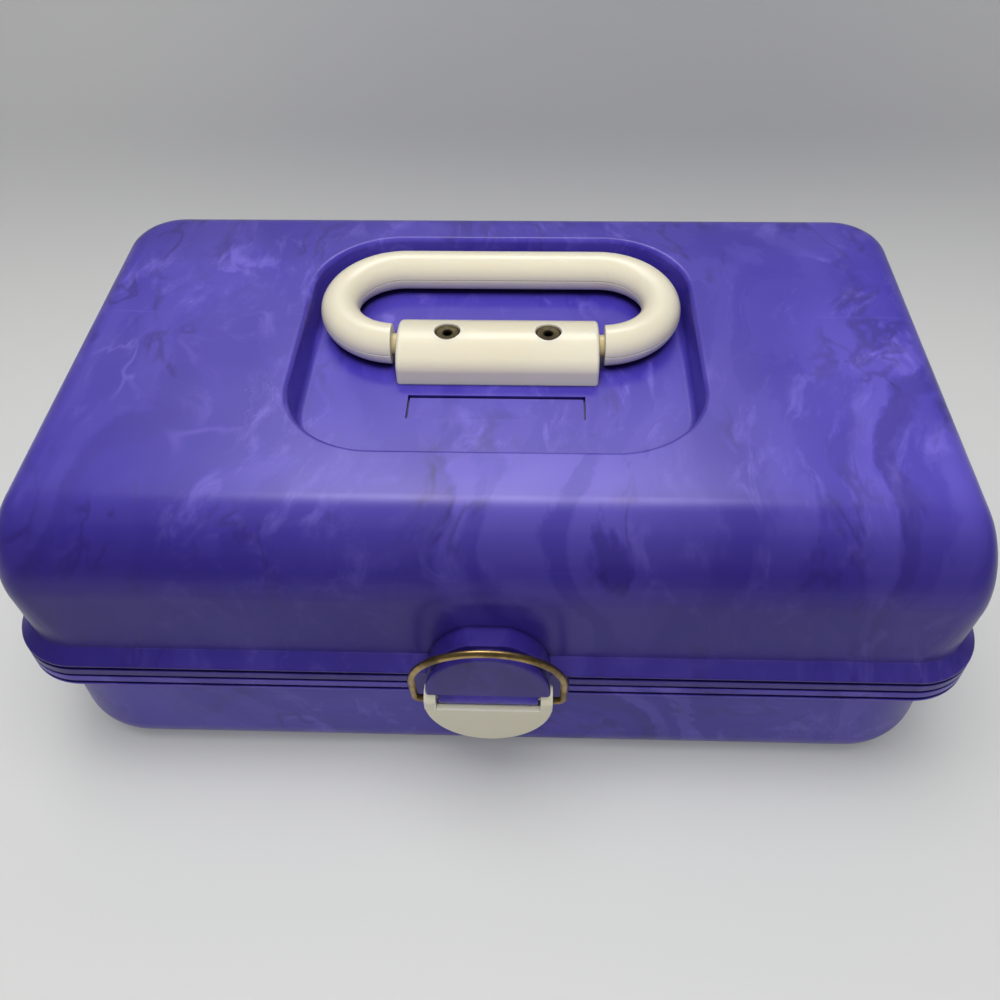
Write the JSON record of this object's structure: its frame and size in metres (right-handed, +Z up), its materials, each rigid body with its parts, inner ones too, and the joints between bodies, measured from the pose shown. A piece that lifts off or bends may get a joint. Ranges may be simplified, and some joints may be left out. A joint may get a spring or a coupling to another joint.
{
  "type": "makeup storage case",
  "caption": "Moulded makeup case with a deep hinged lid, recessed folding carry handle, front draw latch with wire bail, and a tray that lifts as the lid opens.",
  "frame": {"origin": "centre of the underside of the closed case", "axes": "+X to the right along the case, +Y from the latch to the lid hinges, +Z up"},
  "size_m": [0.33, 0.2243, 0.1149],
  "materials": {
    "marbled_purple": "satin moulded plastic, marbled with paler and darker swirls",
    "ivory_plastic": "semi-gloss ivory plastic",
    "nylon": "yellowed nylon",
    "aged_brass": "dull antique brass",
    "steel": "plain steel",
    "mirror": "silvered glass",
    "tray_plastic": "satin lilac plastic"
  },
  "bodies": {
    "base": {"base_shell": "marbled_purple", "hinge_pins": "steel", "latch_pin": "steel", "arm_base_pins": "steel"},
    "lid": {"lid_shell": "marbled_purple", "handle_block": "ivory_plastic", "handle_rivets": "aged_brass", "rivet_washers": "aged_brass", "mirror_frame": "ivory_plastic", "mirror_glass": "mirror", "mirror_screws": "steel", "lid_tray_pins": "steel"},
    "handle": {"handle_grip": "ivory_plastic", "handle_pivots": "nylon"},
    "lever": {"latch_lever": "ivory_plastic"},
    "bail": {"latch_bail": "aged_brass"},
    "tray": {"tray": "tray_plastic", "tray_dividers": "tray_plastic"},
    "arm_left": {"tray_arm_left": "ivory_plastic", "arm_tray_pin_left": "steel"},
    "arm_right": {"tray_arm_right": "ivory_plastic", "arm_tray_pin_right": "steel"}
  },
  "joints": [
    {"name": "lid_hinge", "type": "hinge", "parent": "base", "child": "lid", "pos_m": [0, 0.10665, 0.054], "axis": [-1, 0, 0], "range_deg": [0, 100]},
    {"name": "handle_fold", "type": "hinge", "parent": "lid", "child": "handle", "pos_m": [0, 0.012, 0.1074], "axis": [1, 0, 0], "range_deg": [0, 180]},
    {"name": "lever_hinge", "type": "hinge", "parent": "base", "child": "lever", "pos_m": [0, -0.1063, 0.0532], "axis": [-1, 0, 0], "range_deg": [0, 110]},
    {"name": "bail_swing", "type": "hinge", "parent": "lever", "child": "bail", "pos_m": [0, -0.105, 0.0489], "axis": [-1, 0, 0], "range_deg": [-154, 0]},
    {"name": "tray_swing", "type": "hinge", "parent": "lid", "child": "tray", "pos_m": [0, 0.04665, 0.0602], "axis": [-1, 0, 0], "range_deg": [-100, 0]},
    {"name": "arm_left_swing", "type": "hinge", "parent": "base", "child": "arm_left", "pos_m": [0, 0.05665, 0.034], "axis": [-1, 0, 0], "range_deg": [0, 100]},
    {"name": "arm_right_swing", "type": "hinge", "parent": "base", "child": "arm_right", "pos_m": [0, 0.05665, 0.034], "axis": [-1, 0, 0], "range_deg": [0, 100]}
  ],
  "couplings": [
    {"joint": "bail_swing", "follows": "lever_hinge", "ratio": -1.4},
    {"joint": "tray_swing", "follows": "lid_hinge", "ratio": -1},
    {"joint": "arm_left_swing", "follows": "lid_hinge", "ratio": 1},
    {"joint": "arm_right_swing", "follows": "lid_hinge", "ratio": 1}
  ]
}
